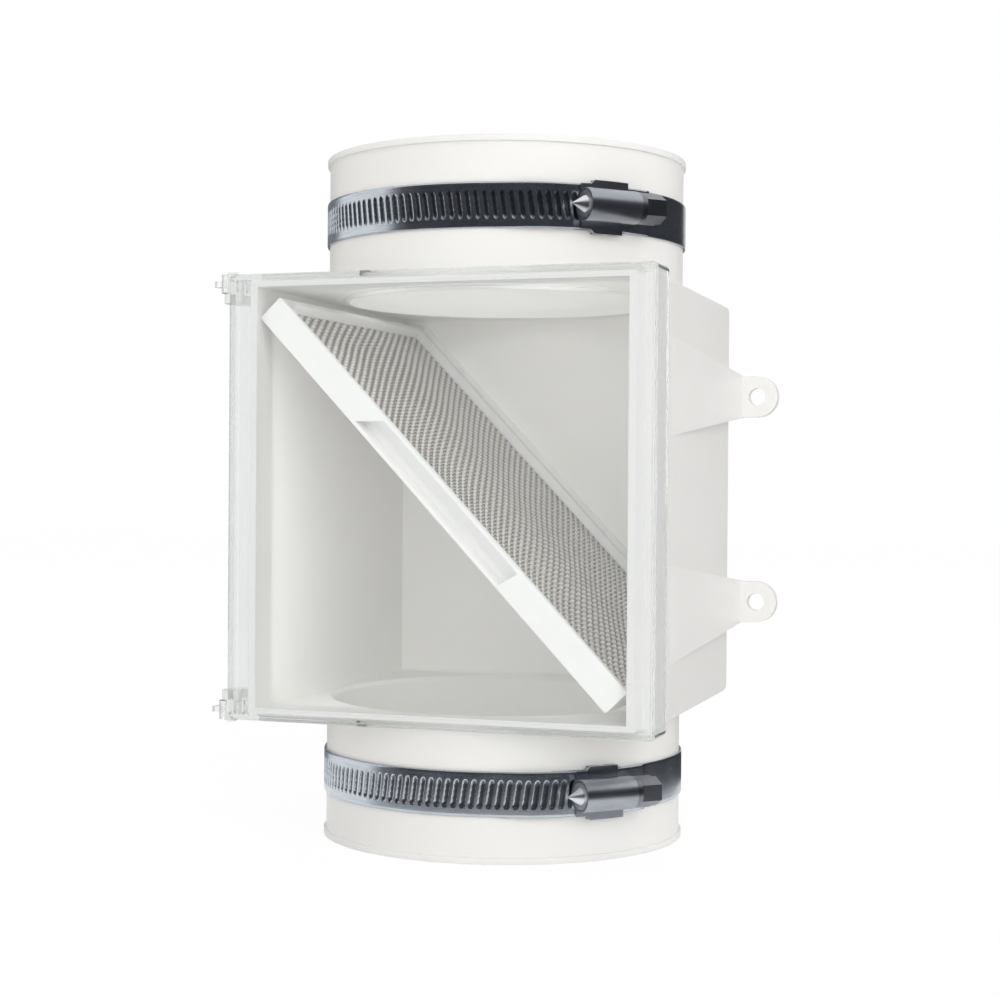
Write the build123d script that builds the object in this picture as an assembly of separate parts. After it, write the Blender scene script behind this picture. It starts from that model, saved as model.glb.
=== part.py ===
from build123d import *
import os
from math import atan2, cos, degrees, floor, radians, sin, tan

# Dryer lint trap: a moulded box with a round duct collar above and below, a clear
# door hinged on its left, a filter screen across its diagonal and two hose clamps.
# Millimetres. X to the right, Y to the back, Z up along the duct. The origin is the
# centre of the lower collar's end, and the door faces -Y.

# Duct collars
duct_diameter = 101.6
collar_wall = 2.0
overall_height = 192.0
bead_rise = 0.7
bead_land = 1.6

# Box
side_room = 1.4
front_room = 3.9
back_room = 1.6
inner_height_front = 114.2
inner_height_back = 112.6
side_wall = 2.0
top_wall = 2.4
front_draft = 1.0
back_draft = 0.35
back_wall = 2.0
back_corner_radius = 2.4
side_corner_bevel = 0.5
inner_corner_radius = 1.6
neck_depth = 10.0
neck_step = 0.9

# Ports
port_bevel = 0.6
stop_ring_width = 3.9
stop_ring_shoulder = 1.0
stop_ring_drop = 0.8
stop_ring_lip = 1.2

# Mounting ears
ear_hole_diameter = 5.2
ear_hole_reach = 9.3
ear_spacing_height = 62.2
ear_radius = 6.2
ear_thickness = 3.0
gusset_reach = 4.8
gusset_length = 71.0
gusset_height_back = 12.4
gusset_height_front = 27.0

# Filter frame
frame_thickness = 8.0
frame_wall = 2.2
frame_front_wall = 2.0
frame_side_gap = 0.2
frame_end_gap = 2.0
frame_front_gap = 1.7
frame_back_gap = 0.4
frame_edge_radius = 0.5
guide_gap = 0.15
guide_width = 1.5
guide_reach = 2.4

# Finger pocket in the filter frame
pocket_length = 57.0
pocket_height = 6.0
pocket_depth = 5.0
pocket_wall = 1.2
pocket_floor_height = 1.6
pocket_low_end_skew = 1.6

# Filter screen
screen_thickness = 0.4
screen_offset = 0.8
screen_edge_grip = 0.8
screen_gap = 0.05
screen_columns = 8
screen_rows = 6
screen_margin = 3.0
screen_hole_share = 0.6
screen_ridge_width = 0.8
screen_ridge_height = 0.3

# Door
door_gap = 0.1
door_panel = 1.9
door_skirt = 1.5
door_border = 3.0
door_border_rise = 0.5
door_side_room = 4.3
door_top_room = 0.4
door_back_gap = 0.5
collar_relief = 0.7
door_edge_bevel = 0.6
door_corner_radius = 1.5

# Door hinge
pin_radius = 1.5
pin_gap = 0.15
pin_nub = 0.7
knuckle_radius = 3.2
knuckle_height = 5.0
knuckle_stand = 0.7
knuckle_gap = 0.3
hinge_offset = 2.9
hinge_depth = 8.3
hub_radius = 2.4
arm_height = 2.6
arm_thickness = 3.5
tab_reach = 1.9
tab_height = 1.6
tab_width = 2.6

# Hose clamps
clamp_spacing = 155.0
screw_angle = 47.8
band_width = 12.0
band_thickness = 0.6
band_gap = 0.12
tongue_lead = 14.0
ramp_start = 34.0
ramp_end = 18.0
tail_lag = 18.0
groove_pitch = 2.4
groove_width = 1.1
groove_height = 6.6
groove_depth = 0.35
groove_slant = 0.0
groove_first_angle = -72.0
grooves_past_screw = 2.0
saddle_thickness = 0.6
saddle_tab = 1.0
saddle_tab_length = 3.5
layer_gap = 0.06
hood_length = 15.7
hood_wall = 0.6
hood_lip = 0.8
hood_long_foot = 14.5
hood_short_foot = 12.6
hood_foot_lead = 1.2
hood_foot_wall = 0.7
wrap_lead = 3.0
wrap_bevel = 0.7
worm_diameter = 7.2
worm_clearance = 0.15
worm_lift = 0.2
worm_neck_diameter = 4.8
cone_length = 3.8
cone_diameter = 4.6
washer_diameter = 8.4
washer_thickness = 1.4
hex_across_flats = 7.4
hex_length = 6.0
driver_slot_width = 1.2
driver_slot_depth = 1.6

# Worked out from the sizes above
duct_radius = duct_diameter / 2
bore_radius = duct_radius - collar_wall
mid_z = overall_height / 2
inner_half_width = duct_radius + side_room
outer_half_width = inner_half_width + side_wall
opening_y = -(duct_radius + front_room)
back_y = duct_radius + back_room
inner_back_y = back_y - back_wall
inner_depth = inner_back_y - opening_y


def inner_half_height(y):
    """Half the box's inner height, which falls slightly from the opening to the back."""
    share = (y - opening_y) / inner_depth
    return (inner_height_front + share * (inner_height_back - inner_height_front)) / 2


def around(radius, angle):
    """The point at a radius from the duct's axis, at an angle from the front towards +X."""
    return (radius * sin(radians(angle)), -radius * cos(radians(angle)))


def block(x0, x1, y0, y1, z0, z1):
    """A box between two corners."""
    return Pos((x0 + x1) / 2, (y0 + y1) / 2, (z0 + z1) / 2) * Box(abs(x1 - x0), abs(y1 - y0), abs(z1 - z0))


def side_profile(points, half_width, rounded_y=None, radius=0.0):
    """A prism along X, from its outline in the YZ plane, with its corners at one Y rounded."""
    outline = Plane.YZ * make_face(Polyline(points, close=True))
    if rounded_y is not None:
        corners = [v for v in outline.vertices() if abs(v.Y - rounded_y) < 0.01]
        outline = fillet(corners, radius)
    return extrude(outline, half_width, dir=(1, 0, 0), both=True)


def mirrored_outline(upper):
    """An outline in Y and Z from its upper half, mirrored below the box's middle."""
    return [(y, mid_z + z) for y, z in upper] + [(y, mid_z - z) for y, z in reversed(upper)]


def box_outside():
    """The box's outer form, with slightly tapered top and bottom and rounded back edges."""
    neck_y = opening_y + neck_depth
    neck_half = inner_half_height(opening_y) + top_wall - neck_step
    body_half = inner_half_height(neck_y) + top_wall + front_draft
    back_half = inner_half_height(back_y) + top_wall - back_draft
    upper = [(opening_y, neck_half), (neck_y, neck_half), (neck_y, body_half), (back_y, back_half)]
    body = side_profile(mirrored_outline(upper), outer_half_width, back_y, back_corner_radius)
    side_edges = [e for e in body.edges()
                  if abs(abs(e.center().X) - outer_half_width) < 0.01 and e.center().Y > neck_y + 0.01]
    return chamfer(side_edges, side_corner_bevel)


def box_shell():
    """The open-fronted box."""
    lead_y = opening_y - 1.0
    hollow = [(lead_y, inner_half_height(lead_y)), (inner_back_y, inner_half_height(inner_back_y))]
    cavity = side_profile(mirrored_outline(hollow), inner_half_width, inner_back_y, inner_corner_radius)
    return box_outside() - cavity


def collar(sign):
    """One duct collar, before its port is cut, with a bead at its end. sign is 1 above, -1 below."""
    end_z = mid_z + sign * overall_height / 2
    root_z = mid_z + sign * (inner_half_height(0) + top_wall / 2)
    outline = [(0, root_z), (duct_radius, root_z), (duct_radius, end_z - sign * bead_land),
               (duct_radius + bead_rise, end_z - sign * bead_land),
               (duct_radius + bead_rise, end_z), (0, end_z)]
    section = make_face(Polyline([(r, 0, z) for r, z in outline], close=True))
    return revolve(section, Axis.Z)


def port(sign):
    """The round hole through the box wall, as wide as the collar's bore."""
    return Pos(0, 0, mid_z + sign * overall_height / 2) * Cylinder(bore_radius, overall_height)


def port_mouth():
    """The bevel at the mouth of the lower port, in the box's floor."""
    low_z = mid_z - inner_half_height(opening_y) - port_bevel
    high_z = low_z + 3 * port_bevel
    bevel = Cone(bore_radius, bore_radius + 3 * port_bevel, 3 * port_bevel)
    return Pos(0, 0, (low_z + high_z) / 2) * bevel


def stop_ring():
    """The shoulder above the upper port's mouth, which a duct stops against, with a lip below it."""
    ceiling_z = mid_z + inner_half_height(0)
    inner_radius = bore_radius - stop_ring_width
    outline = [(inner_radius, ceiling_z - stop_ring_drop), (inner_radius + stop_ring_lip, ceiling_z - stop_ring_drop),
               (inner_radius + stop_ring_lip, ceiling_z), (bore_radius, ceiling_z),
               (bore_radius, ceiling_z + stop_ring_shoulder), (inner_radius, ceiling_z + stop_ring_shoulder)]
    section = make_face(Polyline([(r, 0, z) for r, z in outline], close=True))
    return revolve(section, Axis.Z)


def ear(side, height_sign):
    """One mounting ear with its long tapered gusset on the side wall."""
    centre_z = mid_z + height_sign * ear_spacing_height / 2
    hole_x = outer_half_width + ear_hole_reach
    embed = side_wall / 2
    plate = block(outer_half_width - embed, hole_x, back_y - ear_thickness, back_y,
                  centre_z - ear_radius, centre_z + ear_radius)
    tip = Pos(hole_x, back_y - ear_thickness / 2, centre_z) * Rot(90, 0, 0) * Cylinder(ear_radius, ear_thickness)
    hole = Pos(hole_x, back_y, centre_z) * Rot(90, 0, 0) * Cylinder(ear_hole_diameter / 2, 4 * ear_thickness)

    front_y = back_y - gusset_length
    tall, short = gusset_height_front / 2, gusset_height_back / 2
    side_view = side_profile([(front_y, centre_z - tall), (back_y, centre_z - short),
                              (back_y, centre_z + short), (front_y, centre_z + tall)], 2 * outer_half_width)
    root_x = outer_half_width - embed
    plan_view = make_face(Polyline([(root_x, front_y), (outer_half_width, front_y),
                                    (outer_half_width + gusset_reach, back_y), (root_x, back_y)], close=True))
    gusset = side_view & extrude(plan_view, overall_height)
    right_ear = gusset + ((plate + tip) - hole)
    if side > 0:
        return right_ear
    return mirror(right_ear, Plane.YZ)


# Hinge: a moulded pin on a bent arm near each corner, for the door's knuckles
hinge_x = -(outer_half_width + door_side_room + door_skirt + hinge_offset)
door_back_y = opening_y + neck_depth - door_back_gap
hinge_y = opening_y - door_gap - door_panel + hinge_depth
door_half_height = inner_half_height(opening_y) + top_wall - neck_step + door_top_room + door_skirt
door_half_width = outer_half_width + door_side_room + door_skirt
door_front_y = opening_y - door_gap - door_panel
knuckle_top = door_half_height + knuckle_stand
hub_top = knuckle_top - knuckle_height - knuckle_gap


def hinge_arm(sign):
    """One bent arm from the left wall, with its hub and upright pin."""
    low, high = hub_top - arm_height, hub_top
    arm_front_y = door_back_y + door_back_gap
    neck_width = hub_radius
    bar = block(hinge_x - hub_radius, -outer_half_width + side_wall / 2, arm_front_y,
                arm_front_y + arm_thickness, low, high)
    link = block(hinge_x - hub_radius, hinge_x + neck_width / 2, hinge_y, arm_front_y + arm_thickness, low, high)
    hub = Pos(hinge_x, hinge_y, (low + high) / 2) * Cylinder(hub_radius, high - low)
    pin_top = knuckle_top + pin_nub
    pin = Pos(hinge_x, hinge_y, (low + pin_top) / 2) * Cylinder(pin_radius, pin_top - low)
    arm = bar + link + hub + pin
    if sign < 0:
        arm = mirror(arm, Plane.XY)
    return Pos(0, 0, mid_z) * arm


# Filter frame: it leans across the box's diagonal, its length along the slope
frame_front_y = opening_y + frame_front_gap
frame_depth = inner_back_y - frame_back_gap - frame_front_y


def diagonal():
    """The frame's slope in degrees and its length, so that its corners near the walls at both ends."""
    reach_x = inner_half_width - frame_side_gap
    reach_z = min(inner_half_height(frame_front_y), inner_half_height(inner_back_y)) - frame_end_gap
    slope = atan2(reach_z, reach_x)
    for _ in range(20):
        slope = atan2(reach_z - frame_thickness / 2 * cos(slope), reach_x - frame_thickness / 2 * sin(slope))
    length = 2 * (reach_x - frame_thickness / 2 * sin(slope)) / cos(slope)
    return degrees(slope), length


frame_slope, frame_length = diagonal()
leaning = Pos(0, frame_front_y, mid_z) * Rot(0, frame_slope, 0)


def guide_rails():
    """Two rails on the back wall that hold the filter frame's rear bar between them."""
    rail_y = inner_back_y - guide_reach
    rails = []
    for sign in (1, -1):
        inner = frame_thickness / 2 + guide_gap
        local = block(-frame_length / 2 + frame_wall, frame_length / 2 - frame_wall,
                      rail_y - frame_front_y, inner_back_y - frame_front_y + back_wall / 2,
                      sign * inner, sign * (inner + guide_width))
        rails.append(leaning * local)
    return rails


def housing():
    """The white moulded body: box, collars, ears, hinge arms and filter guides."""
    body = box_shell() + collar(1) + collar(-1)
    for side in (1, -1):
        for height_sign in (1, -1):
            body = body + ear(side, height_sign)
    for rail in guide_rails():
        body = body + rail
    body = body - port(1) - port(-1) - port_mouth()
    body = body + stop_ring()
    body = body + hinge_arm(1) + hinge_arm(-1)
    return body


def pocket_outline():
    """The finger pocket's mouth on the frame's front face, its upper end level with the ground."""
    half = pocket_length / 2
    high_end_skew = pocket_height / tan(radians(frame_slope))
    low, high = -pocket_height / 2, pocket_height / 2
    return [(-half - high_end_skew / 2, low), (half - pocket_low_end_skew / 2, low),
            (half + pocket_low_end_skew / 2, high), (-half + high_end_skew / 2, high)]


def pocket_side(depth, low, mouth_high, floor_high, half_length):
    """A wedge along the frame, deep in Y, whose roof falls towards its back."""
    points = [(0, low), (depth, low), (depth, floor_high), (0, mouth_high)]
    return side_profile(points, half_length)


def pocket_block():
    """The walls that close the finger pocket behind the frame's front bar."""
    half = pocket_length / 2 + pocket_height / 2 + pocket_wall
    low = -frame_thickness / 2
    return pocket_side(pocket_depth + pocket_wall, low, frame_thickness / 2,
                       -pocket_height / 2 + pocket_floor_height + pocket_wall, half)


def pocket_hollow():
    """The space that a finger reaches into."""
    low = -pocket_height / 2
    wedge = pocket_side(pocket_depth, low, pocket_height / 2, low + pocket_floor_height, frame_length / 2)
    mouth = make_face(Polyline([(x, 0, z) for x, z in pocket_outline()], close=True))
    return extrude(mouth, pocket_depth, dir=(0, 1, 0)) & wedge


def filter_frame_local():
    """The filter frame lying flat: X along the slope, Y from its front, Z across it."""
    half_length, half_height = frame_length / 2, frame_thickness / 2
    outer = block(-half_length, half_length, 0, frame_depth, -half_height, half_height)
    outer = fillet(outer.edges().filter_by(Axis.Y), frame_edge_radius)
    window = block(-half_length + frame_wall, half_length - frame_wall, frame_front_wall,
                   frame_depth - frame_wall, -frame_thickness, frame_thickness)
    grip = screen_edge_grip + screen_gap
    groove_half = screen_thickness / 2 + screen_gap
    groove = block(-half_length + frame_wall - grip, half_length - frame_wall + grip,
                   frame_front_wall - grip, frame_depth - frame_wall + grip,
                   screen_offset - groove_half, screen_offset + groove_half)
    bars = outer - window - groove
    return bars + pocket_block() - pocket_hollow()


def filter_frame():
    return leaning * filter_frame_local()


def filter_screen():
    """The screen: one thin wall, pierced by rows of gaps between crossing ridges."""
    half_length = frame_length / 2 - frame_wall + screen_edge_grip
    near_y = frame_front_wall - screen_edge_grip
    far_y = frame_depth - frame_wall + screen_edge_grip
    sheet = block(-half_length, half_length, near_y, far_y,
                  screen_offset - screen_thickness / 2, screen_offset + screen_thickness / 2)
    notch_half = pocket_length / 2 + pocket_height / 2 + pocket_wall + screen_gap
    notch_y = pocket_depth + pocket_wall + screen_gap
    sheet = sheet - block(-notch_half, notch_half, 0, notch_y, -frame_thickness, frame_thickness)
    field_x = frame_length - 2 * (frame_wall + screen_margin)
    first_y = notch_y + screen_margin
    field_y = frame_depth - frame_wall - screen_margin - first_y
    step_x, step_y = field_x / screen_columns, field_y / screen_rows
    centre_y = first_y + field_y / 2
    hole = Box(step_x * screen_hole_share, step_y * screen_hole_share, 4 * screen_thickness)
    grid = GridLocations(step_x, step_y, screen_columns, screen_rows)
    holes = [Pos(0, centre_y, screen_offset) * place * hole for place in grid]
    sheet = sheet - holes
    upper_ridge = Box(screen_ridge_width, field_y, screen_ridge_height + screen_thickness / 2)
    lower_ridge = Box(field_x, screen_ridge_width, screen_ridge_height + screen_thickness / 2)
    lift = (screen_ridge_height + screen_thickness / 2) / 2
    for column in range(screen_columns + 1):
        x = (column - screen_columns / 2) * step_x
        sheet = sheet + Pos(x, centre_y, screen_offset + lift) * upper_ridge
    for row in range(screen_rows + 1):
        y = centre_y + (row - screen_rows / 2) * step_y
        sheet = sheet + Pos(0, y, screen_offset - lift) * lower_ridge
    return leaning * sheet


def door_knuckle():
    """The upper knuckle, a short tube on a web beside the door, with its small finger tab."""
    centre_z = knuckle_top - knuckle_height / 2
    tube = Pos(hinge_x, hinge_y, centre_z) * Cylinder(knuckle_radius, knuckle_height)
    web = block(hinge_x, -door_half_width + door_skirt / 2, hinge_y - knuckle_radius,
                hinge_y + knuckle_radius, centre_z - knuckle_height / 2, centre_z + knuckle_height / 2)
    tab = block(hinge_x - knuckle_radius - tab_reach, hinge_x, hinge_y - tab_width / 2,
                hinge_y + tab_width / 2, centre_z - tab_height / 2, centre_z + tab_height / 2)
    return tube + web + tab


def door_pin_hole():
    centre_z = knuckle_top - knuckle_height / 2
    return Pos(hinge_x, hinge_y, centre_z) * Cylinder(pin_radius + pin_gap, 2 * knuckle_height)


def door():
    """The clear door: a shallow tray with a raised border and two hinge knuckles."""
    tray = block(-door_half_width, door_half_width, door_front_y, door_back_y,
                 -door_half_height, door_half_height)
    tray = fillet(tray.edges().filter_by(Axis.Y), door_corner_radius)
    front_edges = tray.edges().group_by(Axis.Y)[0]
    tray = chamfer(front_edges, door_edge_bevel)
    hollow = block(-door_half_width + door_skirt, door_half_width - door_skirt,
                   door_front_y + door_panel, door_back_y + door_panel,
                   -door_half_height + door_skirt, door_half_height - door_skirt)
    window = block(-door_half_width + door_border, door_half_width - door_border,
                   door_front_y - door_border_rise, door_front_y + door_border_rise,
                   -door_half_height + door_border, door_half_height - door_border)
    relief = Cylinder(duct_radius + collar_relief, 4 * door_half_height)
    tray = tray - hollow - window - relief
    knuckle = door_knuckle()
    pin_hole = door_pin_hole()
    tray = tray + knuckle + mirror(knuckle, Plane.XY)
    tray = tray - pin_hole - mirror(pin_hole, Plane.XY)
    return Pos(0, 0, mid_z) * tray


# Hose clamp radii, from the collar outwards
band_inner_radius = duct_radius + band_gap
saddle_inner_radius = band_inner_radius + band_thickness + layer_gap
tail_inner_radius = saddle_inner_radius + saddle_thickness + layer_gap
foot_inner_radius = tail_inner_radius + band_thickness + layer_gap
worm_axis_radius = tail_inner_radius + band_thickness + worm_lift + worm_diameter / 2
hood_inner_radius = worm_diameter / 2 + worm_clearance
hood_outer_radius = hood_inner_radius + hood_wall
groove_step = degrees(groove_pitch / tail_inner_radius)


def arc(radius, start, stop):
    """An arc about the duct's axis, between two angles from the front towards +X."""
    return CenterArc((0, 0), radius, start - 90, stop - start)


def sector(inner, outer, start, stop, width):
    """A curved plate about the duct's axis, centred on the band's height."""
    edges = [arc(inner, start, stop), Line(around(inner, stop), around(outer, stop)),
             arc(outer, start, stop), Line(around(outer, start), around(inner, start))]
    return extrude(make_face(Curve() + edges), width / 2, both=True)


def band_blank():
    """The band: once round the collar, then up over its own tongue and into the hood."""
    t = band_thickness
    tongue = screw_angle - tongue_lead
    lift_off = screw_angle - ramp_start + 360
    landing = screw_angle - ramp_end + 360
    tail = screw_angle + tail_lag + 360
    low, high = band_inner_radius, tail_inner_radius
    middle = (lift_off + landing) / 2

    def ramp(offset):
        return ThreePointArc(around(low + offset, lift_off), around((low + high) / 2 + offset, middle),
                             around(high + offset, landing))

    edges = [arc(low, tongue, lift_off), ramp(0), arc(high, landing, tail),
             Line(around(high, tail), around(high + t, tail)),
             arc(high + t, landing, tail), ramp(t), arc(low + t, tongue, lift_off),
             Line(around(low + t, tongue), around(low, tongue))]
    return extrude(make_face(Curve() + edges), band_width / 2, both=True)


def clamp_band():
    """The band with its row of pressed grooves, in which the worm runs."""
    last_angle = screw_angle + grooves_past_screw
    count = floor((last_angle - groove_first_angle) / groove_step) + 1
    rise = tail_inner_radius - band_inner_radius
    grooves = []
    for index in range(count):
        angle = last_angle - index * groove_step
        share = (angle - screw_angle + ramp_start) / (ramp_start - ramp_end)
        share = min(max(share, 0), 1)
        radius = band_inner_radius + band_thickness + share * rise
        x, y = around(radius, angle)
        cutter = Box(groove_width, 2 * groove_depth, groove_height)
        grooves.append(Pos(x, y, 0) * Rot(0, 0, angle) * Rot(0, -groove_slant, 0) * cutter)
    return band_blank() - grooves


def clamp_saddle():
    """The curved plate between the band's two layers, with four tabs under the hood's feet."""
    half_angle = degrees(hood_length / 2 / saddle_inner_radius)
    outer = saddle_inner_radius + saddle_thickness
    width = band_width + 2 * layer_gap
    plate = sector(saddle_inner_radius, outer, screw_angle - half_angle, screw_angle + half_angle, width)
    start, stop = foot_span(hood_foot_lead + wrap_lead + wrap_bevel, hood_short_foot)
    tab_angle = degrees(saddle_tab_length / saddle_inner_radius)
    for tab_start in (start, stop - tab_angle):
        plate = plate + sector(saddle_inner_radius, outer, tab_start, tab_start + tab_angle,
                               width + 2 * saddle_tab)
    return plate


def along_worm(distance=0.0):
    """The place on the worm's axis at a distance from the hood's middle, local Z along the axis."""
    x, y = around(worm_axis_radius, screw_angle)
    axis = (cos(radians(screw_angle)), sin(radians(screw_angle)), 0)
    plane = Plane(origin=(x, y, 0), x_dir=(0, 0, 1), z_dir=axis)
    return plane.location * Pos(0, 0, distance)


def foot_span(lead, length):
    """The angles between which a foot or tab runs, from a distance behind the hood's tip end."""
    start = screw_angle - degrees((hood_length / 2 - lead) / foot_inner_radius)
    stop = screw_angle - degrees((hood_length / 2 - hood_foot_lead - length) / foot_inner_radius)
    return start, stop


def hood_foot(sign, length):
    """One curved foot of the hood on the band, with the part that wraps the band's edge further on."""
    start, stop = foot_span(hood_foot_lead, length)
    wrap_start = foot_span(hood_foot_lead + wrap_lead, length)[0]
    outer_half = band_width / 2 + layer_gap + saddle_tab
    outer_radius = foot_inner_radius + hood_foot_wall
    foot = sector(foot_inner_radius, outer_radius, start, stop, band_width)
    wrap = sector(tail_inner_radius, outer_radius, wrap_start, stop, 2 * outer_half)
    wrap = wrap - Cylinder(foot_inner_radius, band_width + 2 * layer_gap)
    x, y = around(outer_radius, wrap_start)
    corner = Box(2 * wrap_bevel, 4 * hood_foot_wall + band_thickness, 2 * wrap_bevel)
    wrap = wrap - Pos(x, y, sign * outer_half) * Rot(0, 0, wrap_start) * Rot(0, 45, 0) * corner
    half_space = Pos(0, 0, sign * outer_half) * Box(4 * duct_radius, 4 * duct_radius, 2 * outer_half)
    return (foot + wrap) & half_space


def clamp_hood():
    """The pressed hood over the worm: a tunnel on two curved feet, with a lip at the head's end."""
    solid = Cylinder(hood_outer_radius, hood_length)
    worm_room = Pos(0, 0, -hood_lip) * Cylinder(hood_inner_radius, hood_length)
    neck_room = Cylinder(worm_neck_diameter / 2 + worm_clearance, 2 * hood_length)
    tunnel = along_worm() * (solid - worm_room - neck_room)
    tunnel = tunnel - Cylinder(foot_inner_radius, 2 * band_width)
    feet = hood_foot(1, hood_long_foot) + hood_foot(-1, hood_short_foot)
    return tunnel + (feet - along_worm() * Cylinder(hood_inner_radius, 2 * hood_length))


def clamp_screw():
    """The worm screw: cone tip, worm, neck in the hood's lip, washer and slotted hex head."""
    half = hood_length / 2
    worm_stop = half - hood_lip - worm_clearance
    washer_start = half + worm_clearance
    hex_start = washer_start + washer_thickness
    outline = [(0, -half - cone_length), (cone_diameter / 2, -half), (worm_diameter / 2, -half),
               (worm_diameter / 2, worm_stop), (worm_neck_diameter / 2, worm_stop),
               (worm_neck_diameter / 2, washer_start), (washer_diameter / 2, washer_start),
               (washer_diameter / 2, hex_start), (0, hex_start)]
    shaft = revolve(make_face(Polyline([(r, 0, z) for r, z in outline], close=True)), Axis.Z)
    hex_face = RegularPolygon(hex_across_flats / 2, 6, major_radius=False)
    head = Pos(0, 0, hex_start) * extrude(hex_face, hex_length)
    driver = Pos(0, 0, hex_start + hex_length) * Box(2 * washer_diameter, driver_slot_width, 2 * driver_slot_depth)
    return along_worm() * (shaft + (head - driver))


def place_clamp(shape, sign):
    """Carries a clamp piece to the upper collar, or mirrored to the lower one."""
    if sign < 0:
        shape = mirror(shape, Plane.XY)
    return Pos(0, 0, mid_z + sign * clamp_spacing / 2) * shape


def assembly():
    """Every piece by its node's name."""
    pieces = {"housing": housing(), "door": door(), "filter_frame": filter_frame(),
              "filter_screen": filter_screen()}
    makers = {"clamp_band": clamp_band, "clamp_saddle": clamp_saddle, "clamp_hood": clamp_hood,
              "clamp_screw": clamp_screw}
    for name, maker in makers.items():
        shape = maker()
        pieces["upper_" + name] = place_clamp(shape, 1)
        pieces["lower_" + name] = place_clamp(shape, -1)
    return pieces


os.makedirs("parts", exist_ok=True)
for node, shape in assembly().items():
    export_step(shape, f"parts/{node}.step")
    print(node, "solids", len(shape.solids()), "volume", round(shape.volume, 1))
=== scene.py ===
from math import atan2, cos, degrees, exp, pi, radians, sin, tan

import bmesh
import bpy
from mathutils import Matrix, Vector


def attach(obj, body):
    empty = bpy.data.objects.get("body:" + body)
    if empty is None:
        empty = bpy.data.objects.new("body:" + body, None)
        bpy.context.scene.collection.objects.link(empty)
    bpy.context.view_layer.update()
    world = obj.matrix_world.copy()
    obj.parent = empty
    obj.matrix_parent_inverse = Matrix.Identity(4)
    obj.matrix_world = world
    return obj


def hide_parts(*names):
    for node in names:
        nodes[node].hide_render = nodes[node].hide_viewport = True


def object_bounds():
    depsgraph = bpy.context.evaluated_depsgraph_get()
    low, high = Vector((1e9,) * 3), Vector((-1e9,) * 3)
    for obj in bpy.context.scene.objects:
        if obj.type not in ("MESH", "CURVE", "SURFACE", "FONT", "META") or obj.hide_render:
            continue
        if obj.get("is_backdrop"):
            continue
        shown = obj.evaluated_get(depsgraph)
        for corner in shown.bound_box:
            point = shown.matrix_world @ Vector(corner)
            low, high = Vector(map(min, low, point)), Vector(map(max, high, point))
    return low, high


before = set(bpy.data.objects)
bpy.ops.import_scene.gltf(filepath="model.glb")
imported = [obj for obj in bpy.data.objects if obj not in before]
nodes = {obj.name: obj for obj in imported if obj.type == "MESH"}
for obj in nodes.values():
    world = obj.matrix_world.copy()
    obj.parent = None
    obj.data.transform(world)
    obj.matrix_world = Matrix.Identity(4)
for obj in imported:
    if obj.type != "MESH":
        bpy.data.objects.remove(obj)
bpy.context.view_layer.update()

MM = 0.001

# Box and filter, in millimetres, as in the part's source
MID_Z = 96.0
OPENING_Y = -54.7
INNER_HALF_WIDTH = 52.2
INNER_HALF_HEIGHT_BACK = 56.3
INNER_BACK_Y = 50.4
FRAME_SETBACK = 1.7
FRAME_BACK_GAP = 0.4
FRAME_THICKNESS = 8.0
FRAME_WALL = 2.2
FRAME_FRONT_WALL = 2.0
FRAME_SIDE_GAP = 0.2
FRAME_END_GAP = 2.0
FRAME_FRONT_Y = OPENING_Y + FRAME_SETBACK
FRAME_DEPTH = INNER_BACK_Y - FRAME_BACK_GAP - FRAME_FRONT_Y
SCREEN_OFFSET = 0.8
NOTCH_HALF_LENGTH = 33.2
NOTCH_DEPTH = 6.6

# Clamps, in millimetres and degrees, as in the part's source
SCREW_ANGLE = 47.8
HOOD_LENGTH = 15.7
CLAMP_SPACING = 155.0
BAND_WIDTH = 12.0
BAND_THICKNESS = 0.6
BAND_INNER_RADIUS = 50.92
TAIL_INNER_RADIUS = 52.24
TONGUE_LEAD = 14.0
RAMP_START = 34.0
RAMP_END = 18.0
TAIL_LAG = 18.0
GROOVE_PITCH = 2.4
GROOVE_WIDTH = 1.1
GROOVE_HEIGHT = 6.6
GROOVE_DEPTH = 0.4
GROOVE_SLANT = 8.0
GROOVE_FIRST_ANGLE = -72.0
GROOVES_PAST_SCREW = 2.0

# The drawn band. Its sections are close by the grooves and wide elsewhere, in degrees, and its
# edges are softly broken, in millimetres.
FINE_STEP = 0.24
COARSE_STEP = 1.5
FINE_BEFORE_GROOVES = 3
FINE_PAST_SCREW = 6
BAND_ROWS = 30
EDGE_BREAK_WIDTH = 0.35
EDGE_BREAK_DROP = 0.12
# From this groove depth on, a band's faces take the dark steel: painted shade in the pressed
# grooves.
PAINTED_GROOVE_SHADE_FROM = 0.45

# The woven mesh, in millimetres. A wave is a set's wave vector in cycles a millimetre, first along
# the filter and then into the box.
INWARD_WAVE = (0.82, 0.043)
LONG_WAVE = (-0.004, 0.362)
INWARD_RADIUS = 0.36
LONG_RADIUS = 0.26
INWARD_SWING = 0.24
LONG_SWING = 0.38
INWARD_STEP = 0.68
LONG_STEP = 0.4
WIRE_SIDES = 4
WIRE_LAP = 0.5
SHORTEST_WIRE = 0.4
WIRE_BEND = 0.3
RIPPLE_LONG = 0.35
RIPPLE_INWARD = 0.28
HANG_DEPTH = 1.5
HANG_PEAK_SHARE = 0.25
RIM_LONG = 8.0
RIM_INWARD = 6.0

# Camera, fitted to the photo's rims, door corners, ears and outlines
CAMERA_AT = (181.46, -521.73, 100.6)
CAMERA_YAW = radians(19.317)
CAMERA_PITCH = radians(0.530)
CAMERA_ROLL = radians(0.421)
CAMERA_LENS = 68.70
SENSOR_WIDTH = 36.0

# Depths of the fill lamps, in millimetres: in front of the filter's front bar, and behind its
# finger pocket
FRONT_BAR_FILL_Y = OPENING_Y + 0.9
INSIDE_FILL_Y = FRAME_FRONT_Y + NOTCH_DEPTH + 0.6

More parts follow.
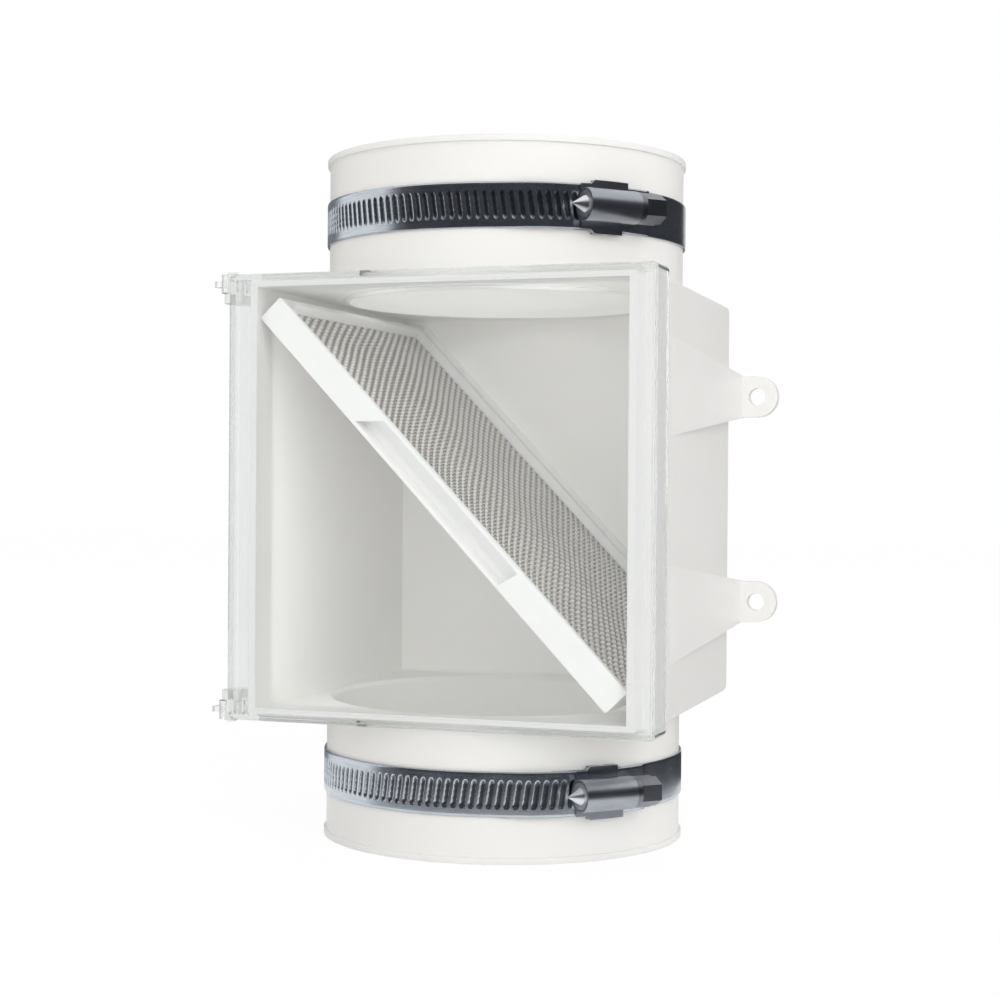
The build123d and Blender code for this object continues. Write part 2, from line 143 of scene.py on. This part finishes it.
# Lights and studio, in metres, watts and degrees
KEY_PLACE = (0.80, -1.02, 0.55)
KEY_WIDTH = 1.2
KEY_HEIGHT = 1.0
KEY_POWER = 6.8
FILL_WIDTH = 0.1
FILL_HEIGHT = 0.108
FRONT_BAR_FILL_POWER = 0.0062
INSIDE_FILL_POWER = 0.023
WORLD_LIGHT = 0.75
FLOOR_GLOW = 1.07
FLOOR_GLOW_SHARE = 0.82
FLOOR_HALF = 3.0
FLOOR_DROP = 0.0002
WALL_DROP = 0.0001
WALL_STEP = 5


# Node helpers

def new_material(name):
    mat = bpy.data.materials.new(name)
    mat.use_nodes = True
    tree = mat.node_tree
    tree.nodes.clear()
    return mat, tree


def add(tree, kind, **values):
    node = tree.nodes.new(kind)
    for key, value in values.items():
        setattr(node, key, value)
    return node


def link(tree, a, b):
    tree.links.new(a, b)


def noise(tree, scale, detail=3.0, rough=0.5, stretch=(1, 1, 1)):
    """Noise over the object's own coordinates, with the scale in cycles a metre."""
    coord = add(tree, "ShaderNodeTexCoord")
    mapping = add(tree, "ShaderNodeMapping")
    mapping.inputs["Scale"].default_value = stretch
    tex = add(tree, "ShaderNodeTexNoise")
    tex.inputs["Scale"].default_value = scale
    tex.inputs["Detail"].default_value = detail
    tex.inputs["Roughness"].default_value = rough
    link(tree, coord.outputs["Object"], mapping.inputs["Vector"])
    link(tree, mapping.outputs["Vector"], tex.inputs["Vector"])
    return tex.outputs["Fac"]


def ramp(tree, fac, stops):
    """A colour ramp with the given (place, colour) stops."""
    node = add(tree, "ShaderNodeValToRGB")
    elements = node.color_ramp.elements
    while len(elements) < len(stops):
        elements.new(0.5)
    for element, (place, color) in zip(elements, stops):
        element.position = place
        element.color = (*color, 1.0)
    link(tree, fac, node.inputs["Fac"])
    return node.outputs["Color"]


def to_range(tree, value, low, high, start=0.0, stop=1.0):
    """Maps a value from start..stop to low..high."""
    node = add(tree, "ShaderNodeMapRange")
    node.inputs["From Min"].default_value = start
    node.inputs["From Max"].default_value = stop
    node.inputs["To Min"].default_value = low
    node.inputs["To Max"].default_value = high
    link(tree, value, node.inputs["Value"])
    return node.outputs["Result"]


def bump(tree, height, strength, distance):
    node = add(tree, "ShaderNodeBump")
    node.inputs["Strength"].default_value = strength
    node.inputs["Distance"].default_value = distance
    link(tree, height, node.inputs["Height"])
    return node.outputs["Normal"]


def principled(tree, roughness=0.5, metallic=0.0, ior=1.5):
    shader = add(tree, "ShaderNodeBsdfPrincipled")
    shader.inputs["Roughness"].default_value = roughness
    shader.inputs["Metallic"].default_value = metallic
    shader.inputs["IOR"].default_value = ior
    return shader


def emission(tree, color=(1, 1, 1), strength=1.0):
    node = add(tree, "ShaderNodeEmission")
    node.inputs["Color"].default_value = (*color, 1.0)
    node.inputs["Strength"].default_value = strength
    return node.outputs["Emission"]


def background(tree, strength):
    node = add(tree, "ShaderNodeBackground")
    node.inputs["Color"].default_value = (1, 1, 1, 1)
    node.inputs["Strength"].default_value = strength
    return node.outputs["Background"]


def mix_shaders(tree, share, first, second):
    """The first shader where share is 0 and the second where it is 1."""
    mix = add(tree, "ShaderNodeMixShader")
    link(tree, share, mix.inputs["Fac"])
    link(tree, first, mix.inputs[1])
    link(tree, second, mix.inputs[2])
    return mix.outputs["Shader"]


def any_ray(tree, *kinds):
    """1 for rays of any of the named Light Path kinds, otherwise 0."""
    path = add(tree, "ShaderNodeLightPath")
    found = path.outputs[kinds[0]]
    for kind in kinds[1:]:
        either = add(tree, "ShaderNodeMath", operation="MAXIMUM")
        link(tree, found, either.inputs[0])
        link(tree, path.outputs[kind], either.inputs[1])
        found = either.outputs["Value"]
    return found


def background_rays(tree):
    """1 for rays that should see the white background."""
    return any_ray(tree, "Is Camera Ray", "Is Glossy Ray", "Is Transmission Ray")


def output(tree, shader):
    out = add(tree, "ShaderNodeOutputMaterial")
    link(tree, shader, out.inputs["Surface"])
    return out


# Materials

def white_plastic(name, light, dark, roughness):
    """Moulded milky plastic: a faint cloudiness, a fine surface grain and soft gloss."""
    mat, tree = new_material(name)
    shader = principled(tree, roughness, ior=1.46)
    shader.inputs["Subsurface Weight"].default_value = 0.35
    shader.inputs["Subsurface Radius"].default_value = (1.0, 0.96, 0.88)
    shader.inputs["Subsurface Scale"].default_value = 0.0015
    cloud = noise(tree, 28.0, 4.0, 0.55)
    color = ramp(tree, cloud, [(0.3, dark), (0.7, light)])
    link(tree, color, shader.inputs["Base Color"])
    grain = noise(tree, 900.0, 4.0, 0.6)
    gloss = to_range(tree, noise(tree, 60.0, 3.0, 0.5), roughness - 0.06, roughness + 0.08)
    link(tree, gloss, shader.inputs["Roughness"])
    link(tree, bump(tree, grain, 0.12, 0.00005), shader.inputs["Normal"])
    output(tree, shader.outputs["BSDF"])
    return mat


def clear_plastic():
    """Clear door: refracts and shines, and lets light through to the inside."""
    mat, tree = new_material("clear_door")
    shader = principled(tree, 0.03, ior=1.49)
    shader.inputs["Transmission Weight"].default_value = 0.92
    tint = noise(tree, 18.0, 2.0, 0.5)
    color = ramp(tree, tint, [(0.3, (0.965, 0.975, 0.978)), (0.7, (0.985, 0.992, 0.992))])
    link(tree, color, shader.inputs["Base Color"])
    flow = noise(tree, 22.0, 2.0, 0.4)
    link(tree, bump(tree, flow, 0.05, 0.0002), shader.inputs["Normal"])
    through = add(tree, "ShaderNodeBsdfTransparent")
    through.inputs["Color"].default_value = (0.97, 0.975, 0.975, 1.0)
    light_rays = any_ray(tree, "Is Shadow Ray", "Is Diffuse Ray")
    surface = mix_shaders(tree, light_rays, shader.outputs["BSDF"], through.outputs["BSDF"])
    out = output(tree, surface)
    depth = add(tree, "ShaderNodeVolumeAbsorption")
    depth.inputs["Color"].default_value = (0.86, 0.87, 0.86, 1.0)
    depth.inputs["Density"].default_value = 120.0
    link(tree, depth.outputs["Volume"], out.inputs["Volume"])
    return mat


def steel_shader(tree, light, dark, roughness, streak):
    """Steel with fine lines and slight stains. Gives the shader and the colour to link to it."""
    shader = principled(tree, roughness, metallic=1.0)
    lines = noise(tree, 120.0, 5.0, 0.65, streak)
    color = ramp(tree, lines, [(0.3, dark), (0.7, light)])
    stain = noise(tree, 160.0, 3.0, 0.5)
    gloss = to_range(tree, stain, roughness - 0.06, roughness + 0.1)
    link(tree, gloss, shader.inputs["Roughness"])
    link(tree, bump(tree, lines, 0.15, 0.00004), shader.inputs["Normal"])
    output(tree, shader.outputs["BSDF"])
    return shader, color


def steel(name, light, dark, roughness, streak=(1, 1, 14)):
    """Rolled steel strip, with its lines along its length."""
    mat, tree = new_material(name)
    shader, color = steel_shader(tree, light, dark, roughness, streak)
    link(tree, color, shader.inputs["Base Color"])
    return mat


def screw_steel(which):
    """The worm screw: a painted highlight on its turned cone, and painted shade that leaves its hex
    head dull and darker.
    """
    mat, tree = new_material(which + "_screw_steel")
    shader, dull = steel_shader(tree, (0.30, 0.31, 0.34), (0.20, 0.21, 0.23), 0.34, (1, 1, 1))
    coord = add(tree, "ShaderNodeTexCoord")
    along = add(tree, "ShaderNodeVectorMath", operation="DOT_PRODUCT")
    along.inputs[1].default_value = (cos(radians(SCREW_ANGLE)), sin(radians(SCREW_ANGLE)), 0)
    link(tree, coord.outputs["Object"], along.inputs[0])
    # painted highlight towards the cone end, fading to the darker colour, painted shade, at the hex
    # head
    painted_highlight_share = to_range(tree, along.outputs["Value"], 1, 0, -HOOD_LENGTH / 2 * MM, 0)
    mix = add(tree, "ShaderNodeMix", data_type="RGBA")
    link(tree, painted_highlight_share, mix.inputs["Factor"])
    colors = [socket for socket in mix.inputs if socket.type == "RGBA"]
    link(tree, dull, colors[0])
    # the pale colour of the painted highlight
    colors[1].default_value = (0.78, 0.80, 0.83, 1.0)
    result = next(socket for socket in mix.outputs if socket.type == "RGBA")
    link(tree, result, shader.inputs["Base Color"])
    return mat


def wire_metal():
    """Woven wire in painted light and shade: painted bright where it lies over, and painted shade
    that leaves it dull and darker where it dips under.
    """
    mat, tree = new_material("woven_wire")
    shader = principled(tree, 0.42, metallic=0.3)
    patch = noise(tree, 45.0, 3.0, 0.5)
    painted_weave_light = add(tree, "ShaderNodeAttribute", attribute_name="painted_weave_light")
    shade = add(tree, "ShaderNodeMath", operation="ADD")
    link(tree, painted_weave_light.outputs["Fac"], shade.inputs[0])
    link(tree, to_range(tree, patch, -0.12, 0.12), shade.inputs[1])
    # painted shade for the dips and a painted highlight for the knuckles, chosen by the per-vertex
    # layer
    dull, bright = (0.16, 0.145, 0.13), (0.84, 0.81, 0.755)
    color = ramp(tree, shade.outputs["Value"], [(0.1, dull), (0.85, bright)])
    link(tree, color, shader.inputs["Base Color"])
    link(tree, to_range(tree, patch, 0.36, 0.5), shader.inputs["Roughness"])
    output(tree, shader.outputs["BSDF"])
    return mat


# Camera, lights and studio

def make_camera():
    cy, sy = cos(CAMERA_YAW), sin(CAMERA_YAW)
    cp, sp = cos(CAMERA_PITCH), sin(CAMERA_PITCH)
    cr, sr = cos(CAMERA_ROLL), sin(CAMERA_ROLL)
    ahead = Vector((-sy, cy, 0))
    level = Vector((cy, sy, 0))
    up = Vector((0, 0, 1))
    look = ahead * cp - up * sp
    lifted = up * cp + ahead * sp
    camera_right = level * cr + lifted * sr
    camera_up = lifted * cr - level * sr
    data = bpy.data.cameras.new("camera")
    data.lens = CAMERA_LENS
    data.sensor_width = SENSOR_WIDTH
    data.clip_start = 0.01
    data.clip_end = 20.0
    camera = bpy.data.objects.new("camera", data)
    turn = Matrix((camera_right, camera_up, -look)).transposed().to_4x4()
    camera.matrix_world = Matrix.Translation(Vector(CAMERA_AT) * MM) @ turn
    bpy.context.collection.objects.link(camera)
    bpy.context.scene.camera = camera


def area_light(name, place, target, width, height, power):
    data = bpy.data.lights.new(name, "AREA")
    data.shape = "RECTANGLE"
    data.size = width
    data.size_y = height
    data.energy = power
    lamp = bpy.data.objects.new(name, data)
    lamp.location = place
    lamp.rotation_euler = (Vector(target) - Vector(place)).to_track_quat("-Z", "Y").to_euler()
    bpy.context.collection.objects.link(lamp)
    return lamp


def key_light():
    """The soft lamp at the front right. Glossy rays miss it, so it leaves no patch on the steel."""
    key = area_light("key", KEY_PLACE, (0, 0, MID_Z * MM), KEY_WIDTH, KEY_HEIGHT, KEY_POWER)
    key.visible_glossy = False


def fill_light(name, y, power):
    """A faint lamp as large as the box's opening, which shines into the box from a depth y."""
    height = MID_Z * MM
    lamp = area_light(name, (0, y * MM, height), (0, 1, height), FILL_WIDTH, FILL_HEIGHT, power)
    lamp.visible_camera = False
    lamp.visible_glossy = False
    lamp.visible_transmission = False


def make_world():
    """A white background that lights the object a little less than it shows."""
    world = bpy.data.worlds.new("studio")
    bpy.context.scene.world = world
    world.use_nodes = True
    tree = world.node_tree
    tree.nodes.clear()
    light, seen = background(tree, WORLD_LIGHT), background(tree, 1.0)
    out = add(tree, "ShaderNodeOutputWorld")
    link(tree, mix_shaders(tree, background_rays(tree), light, seen), out.inputs["Surface"])


def make_floor():
    """A pale floor that looks white and keeps a soft shadow."""
    mesh = bpy.data.meshes.new("floor")
    half = FLOOR_HALF
    corners = [(-half, -half, 0), (half, -half, 0), (half, half, 0), (-half, half, 0)]
    mesh.from_pydata(corners, [], [(0, 1, 2, 3)])
    floor = bpy.data.objects.new("floor", mesh)
    floor.location.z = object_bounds()[0][2] - FLOOR_DROP
    bpy.context.collection.objects.link(floor)
    mat, tree = new_material("floor")
    shader = principled(tree, 0.8)
    shader.inputs["Base Color"].default_value = (0.86, 0.86, 0.86, 1)
    shader.inputs["Specular IOR Level"].default_value = 0.0
    share = add(tree, "ShaderNodeMath", operation="MULTIPLY")
    share.inputs[1].default_value = FLOOR_GLOW_SHARE
    link(tree, background_rays(tree), share.inputs[0])
    glow = emission(tree, strength=FLOOR_GLOW)
    output(tree, mix_shaders(tree, share.outputs["Value"], shader.outputs["BSDF"], glow))
    mesh.materials.append(mat)
    floor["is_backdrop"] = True


def only_reflected(obj):
    """Leaves a stage piece to reflections alone, as a studio's flags are placed for metal."""
    obj.visible_camera = False
    obj.visible_diffuse = False
    obj.visible_shadow = False
    obj.visible_transmission = False
    obj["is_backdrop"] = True


def dark_wall(name, start, stop, shade, radius=1.5, height=1.1, floor_from=0.12):
    """A dark curved wall round part of the studio, with a dark strip on the floor before it.
    The angles are in degrees from the door's side towards the right. Rays that have passed
    through the clear door see it white."""
    verts, faces = [], []
    count = max(2, int((stop - start) / WALL_STEP))
    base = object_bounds()[0][2] - WALL_DROP
    for i in range(count + 1):
        a = radians(start + (stop - start) * i / count)
        x, y = sin(a), -cos(a)
        verts.append((floor_from * x, floor_from * y, base))
        verts.append((radius * x, radius * y, base))
        verts.append((radius * x, radius * y, height))
    for i in range(count):
        k = 3 * i
        faces += [(k, k + 1, k + 4, k + 3), (k + 1, k + 2, k + 5, k + 4)]
    mesh = bpy.data.meshes.new(name)
    mesh.from_pydata(verts, [], faces)
    wall = bpy.data.objects.new(name, mesh)
    bpy.context.collection.objects.link(wall)
    mat, tree = new_material(name)
    path = add(tree, "ShaderNodeLightPath")
    dark, white_glow = emission(tree, shade), emission(tree)
    output(tree, mix_shaders(tree, path.outputs["Transmission Depth"], dark, white_glow))
    mesh.materials.append(mat)
    only_reflected(wall)


# Geometry

def piece_from(bm, name, *materials):
    """Turns a bmesh into an object of the scene."""
    mesh = bpy.data.meshes.new(name)
    bm.to_mesh(mesh)
    bm.free()
    for material in materials:
        mesh.materials.append(material)
    piece = bpy.data.objects.new(name, mesh)
    bpy.context.collection.objects.link(piece)
    return piece


def smooth_step(share):
    """Eases a share from 0 to 1, and holds it there beyond."""
    share = min(max(share, 0.0), 1.0)
    return share * share * (3 - 2 * share)


# The woven mesh of the filter

def filter_slope():
    """The filter's slope and length, worked out as in the part's source."""
    reach_x = INNER_HALF_WIDTH - FRAME_SIDE_GAP
    reach_z = INNER_HALF_HEIGHT_BACK - FRAME_END_GAP
    half = FRAME_THICKNESS / 2
    slope = atan2(reach_z, reach_x)
    for _ in range(20):
        slope = atan2(reach_z - half * cos(slope), reach_x - half * sin(slope))
    length = 2 * (reach_x - half * sin(slope)) / cos(slope)
    return slope, length


def to_world(slope, x, y, z):
    """A point of the filter's own space (along, in from its front, across) in metres."""
    return Vector((x * cos(slope) + z * sin(slope), FRAME_FRONT_Y + y,
                   MID_Z - x * sin(slope) + z * cos(slope))) * MM


def screen_areas(half, near, far):
    """The rectangles that wires fill: behind the finger pocket, and on either side of it."""
    return (((-half, NOTCH_DEPTH), (half, far)),
            ((-half, near), (-NOTCH_HALF_LENGTH, NOTCH_DEPTH)),
            ((NOTCH_HALF_LENGTH, near), (half, NOTCH_DEPTH)))


def screen_slack(x, y, half, near, far):
    """How far the mesh lies off its plane, and how free it is there, from 0 at its rim to 1."""
    free = max(0.0, min(1.0, (half - abs(x)) / RIM_LONG, (y - near) / RIM_INWARD,
                        (far - y) / RIM_INWARD))
    ripple = (RIPPLE_LONG * sin(x / 9.0 + 0.7 * sin(y / 13.0))
              + RIPPLE_INWARD * sin(y / 7.0 + x / 31.0))
    inward_share = max(0.0, (y - near) / (far - near)) / HANG_PEAK_SHARE
    hang = -HANG_DEPTH * inward_share * exp(1 - inward_share)
    return (ripple + hang) * free, free


def clipped(start, heading, low, high):
    """How far along a line, given in two dimensions, it enters and leaves a rectangle."""
    first, last = -1e9, 1e9
    for place, step, lo, hi in zip(start, heading, low, high):
        a, b = (lo - place) / step, (hi - place) / step
        first, last = max(first, min(a, b)), min(last, max(a, b))
    return first, last


def tube_along(bm, points, normal, binormal, radius, painted_shade_layer, painted_shade_at):
    """A closed tube along points. painted_shade_at gives each vertex's share of painted light and
    shade, from the point's index and the vertex's offset along the binormal."""
    rings = []
    for index, point in enumerate(points):
        ring = []
        for k in range(WIRE_SIDES):
            a = 2 * pi * (k + 0.5) / WIRE_SIDES
            vert = bm.verts.new(point + (normal * cos(a) + binormal * sin(a)) * radius)
            vert[painted_shade_layer] = painted_shade_at(index, sin(a) * radius / MM)
            ring.append(vert)
        rings.append(ring)
    for first, second in zip(rings, rings[1:]):
        for k in range(WIRE_SIDES):
            j = (k + 1) % WIRE_SIDES
            bm.faces.new((first[k], first[j], second[j], second[k]))
    bm.faces.new(list(reversed(rings[0])))
    bm.faces.new(rings[-1])


def painted_weave_shade(wave, other, half, x, y):
    """Painted light and shade of the weave at a place: painted bright slanting ribs with painted
    shade between them, and painted bright beads that show more further down.
    """
    rib = 0.5 + 0.5 * cos(pi * ((wave[0] + other[0]) * x + (wave[1] + other[1]) * y))
    bead = 0.5 + 0.5 * cos(pi * ((wave[0] - other[0]) * x + (wave[1] - other[1]) * y))
    bead_share = 0.22 + 0.3 * min(max(x / half, 0), 1)
    return rib * (1 - bead_share + bead_share * bead) * 1.1


def wire_family(name, material, wave, other, phase, radius, swing, step):
    """One set of parallel wires of the mesh. wave is the set's own wave vector, and other is the
    crossing set's, which these pass over and under. phase is 1 or -1, so that the two sets
    alternate."""
    slope, length = filter_slope()
    half = length / 2 - FRAME_WALL + WIRE_LAP
    near = FRAME_FRONT_WALL - WIRE_LAP
    far = FRAME_DEPTH - FRAME_WALL + WIRE_LAP
    size = (wave[0] ** 2 + wave[1] ** 2) ** 0.5
    side_x, side_y = wave[0] / size, wave[1] / size
    heading = (-side_y, side_x)
    across = Vector((sin(slope), 0, cos(slope)))
    flat = Vector((cos(slope), 0, -sin(slope))) * side_x + Vector((0, 1, 0)) * side_y
    bm = bmesh.new()
    # a per-vertex layer of painted light and shade, which the wire's material reads
    painted_shade_layer = bm.verts.layers.float.new("painted_weave_light")
    corners = [wave[0] * x + wave[1] * y for x in (-half, half) for y in (near, far)]
    for n in range(int(min(corners)) - 1, int(max(corners)) + 2):
        start = (side_x / size * n, side_y / size * n)
        for low, high in screen_areas(half, near, far):
            first, last = clipped(start, heading, low, high)
            if last - first < SHORTEST_WIRE:
                continue
            count = max(1, round((last - first) / step))
            points, places = [], []
            for i in range(count + 1):
                t = first + (last - first) * i / count
                x, y = start[0] + heading[0] * t, start[1] + heading[1] * t
                lift = swing * phase * cos(pi * (other[0] * x + other[1] * y + n))
                sag, free = screen_slack(x, y, half, near, far)
                bend = -WIRE_BEND * side_x * sin(y / 14.0 + x / 30.0) * free
                point = to_world(slope, x, y, SCREEN_OFFSET + lift + sag)
                points.append(point + flat * bend * MM)
                places.append((x, y))

            # painted light and shade of each vertex, from the weave's rib and bead pattern
            def painted_shade_at(index, offset):
                x, y = places[index]
                return painted_weave_shade(wave, other, half, x + side_x * offset, y + side_y * offset)

            tube_along(bm, points, across, flat, radius * MM, painted_shade_layer, painted_shade_at)
    for face in bm.faces:
        face.smooth = True
    piece = piece_from(bm, name, material)
    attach(piece, "box")
    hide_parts("filter_screen")


def woven_screen(material):
    """The mesh itself: close wires into the box, woven with wider-set wires along the slope."""
    wire_family("mesh_inward_wires", material, INWARD_WAVE, LONG_WAVE, 1,
                INWARD_RADIUS, INWARD_SWING, INWARD_STEP)
    wire_family("mesh_long_wires", material, LONG_WAVE, INWARD_WAVE, -1,
                LONG_RADIUS, LONG_SWING, LONG_STEP)


# The clamps' bands

def clamp_z(sign):
    """The height of the upper clamp (sign 1) or the lower one (sign -1)."""
    return MID_Z + sign * CLAMP_SPACING / 2


def band_radius(angle):
    """The middle of the band's thickness: low round the collar, higher over its own tongue."""
    low = BAND_INNER_RADIUS + BAND_THICKNESS / 2
    high = TAIL_INNER_RADIUS + BAND_THICKNESS / 2
    share = (angle - (SCREW_ANGLE + 360 - RAMP_START)) / (RAMP_START - RAMP_END)
    return low + (high - low) * smooth_step(share)


def band_angles():
    """The angles of the band's sections in degrees, from its tongue round to its tail."""
    stop = SCREW_ANGLE + TAIL_LAG + 360
    fine_from = GROOVE_FIRST_ANGLE + 360 - FINE_BEFORE_GROOVES
    fine_to = SCREW_ANGLE + 360 + FINE_PAST_SCREW
    angles = []
    angle = SCREW_ANGLE - TONGUE_LEAD
    while angle < stop:
        angles.append(angle)
        angle += FINE_STEP if fine_from < angle < fine_to else COARSE_STEP
    return angles + [stop]


def groove_depth_at(angle, z):
    """How deep the pressed grooves are at a place on the band, from 0 to 1."""
    last = SCREW_ANGLE + GROOVES_PAST_SCREW
    step = degrees(GROOVE_PITCH / TAIL_INNER_RADIUS)
    count = int((last - GROOVE_FIRST_ANGLE) / step)
    slant = degrees(z * tan(radians(GROOVE_SLANT)) / TAIL_INNER_RADIUS)
    turned = angle - 360 - last + slant
    index = round(turned / step)
    if index > 0 or index < -count:
        return 0.0
    half = GROOVE_WIDTH / 2
    across = abs(turned / step - index) * GROOVE_PITCH / half
    end = (abs(z) - (GROOVE_HEIGHT / 2 - half)) / half
    reach = across if end < 0 else (across ** 2 + end ** 2) ** 0.5
    return smooth_step((1.25 - reach) / 0.5)


def band_point(angle, radius, z, sign):
    """A point of a clamp's band in metres, mirrored for the lower clamp."""
    a = radians(angle)
    out = Vector((sin(a), -cos(a), 0))
    return (out * radius + Vector((0, 0, sign * z + clamp_z(sign)))) * MM


def band_face(bm, loop, sign):
    """A face of a clamp's band, turned round for the lower clamp's mirrored band."""
    return bm.faces.new(loop if sign > 0 else list(reversed(loop)))


def pressed_band(which, sign, face_steel, painted_groove_shade):
    """A clamp's band with its grooves pressed into the strip: the upper clamp's, or its mirror
    image below."""
    half = BAND_WIDTH / 2
    levels = [-half + BAND_WIDTH * k / BAND_ROWS for k in range(BAND_ROWS + 1)]
    bm = bmesh.new()
    columns, depths = [], []
    for angle in band_angles():
        middle = band_radius(angle)
        depth_row = [groove_depth_at(angle, z) for z in levels]
        column = []
        for z, depth in zip(levels, depth_row):
            broken = 1 - min(1.0, (half - abs(z)) / EDGE_BREAK_WIDTH)
            drop = EDGE_BREAK_DROP * broken ** 2 + GROOVE_DEPTH * depth
            radius = middle + BAND_THICKNESS / 2 - drop
            column.append(bm.verts.new(band_point(angle, radius, z, sign)))
        for z in (half, -half):
            point = band_point(angle, middle - BAND_THICKNESS / 2, z, sign)
            column.append(bm.verts.new(point))
        columns.append(column)
        depths.append(depth_row)
    size = len(columns[0])
    for first, second, depth_row in zip(columns, columns[1:], depths):
        for k in range(size):
            j = (k + 1) % size
            face = band_face(bm, [first[k], second[k], second[j], first[j]], sign)
            face.smooth = k < BAND_ROWS
            # faces deep in a groove take the dark steel, painted shade in the grooves
            if k < BAND_ROWS and max(depth_row[k], depth_row[k + 1]) > PAINTED_GROOVE_SHADE_FROM:
                face.material_index = 1
    band_face(bm, columns[0], sign)
    band_face(bm, list(reversed(columns[-1])), sign)
    piece = piece_from(bm, which + "_band", face_steel, painted_groove_shade)
    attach(piece, "box")
    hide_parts(which + "_clamp_band")


def dress(name, material):
    """Gives a CAD node its finished material."""
    node = nodes[name]
    if not node.material_slots:
        node.data.materials.append(material)
    for slot in node.material_slots:
        slot.material = material


# The scene

bpy.context.scene.view_settings.view_transform = "Standard"
make_camera()
make_world()
make_floor()

white = white_plastic("white_plastic", (0.925, 0.915, 0.893), (0.910, 0.899, 0.875), 0.42)
frame_white = white_plastic("frame_plastic", (0.935, 0.93, 0.915), (0.925, 0.918, 0.90), 0.40)
dress("housing", white)
dress("filter_frame", frame_white)
dress("door", clear_plastic())

band = steel("band_steel", (0.62, 0.66, 0.71), (0.50, 0.54, 0.60), 0.22)
# the dark steel of the grooves' faces is painted shade
groove = steel("painted_groove_shade", (0.17, 0.185, 0.20), (0.11, 0.12, 0.14), 0.34)
hood = steel("hood_steel", (0.46, 0.485, 0.53), (0.34, 0.36, 0.40), 0.33, (1, 1, 4))
# a darker copy of the clamp steel for the saddle: painted shade beneath the hood
saddle = steel("saddle_painted_shade_steel", (0.26, 0.27, 0.30), (0.17, 0.18, 0.20), 0.38, (1, 1, 1))
for which, sign in (("upper", 1), ("lower", -1)):
    pressed_band(which, sign, band, groove)
    dress(which + "_clamp_saddle", saddle)
    dress(which + "_clamp_hood", hood)
    dress(which + "_clamp_screw", screw_steel(which))

woven_screen(wire_metal())

key_light()
fill_light("front_bar_fill", FRONT_BAR_FILL_Y, FRONT_BAR_FILL_POWER)
fill_light("inside_fill", INSIDE_FILL_Y, INSIDE_FILL_POWER)
dark_wall("dark_wall_right", -57, 175, (0.05, 0.052, 0.058))
dark_wall("dark_wall_left", -175, -112, (0.20, 0.21, 0.23))
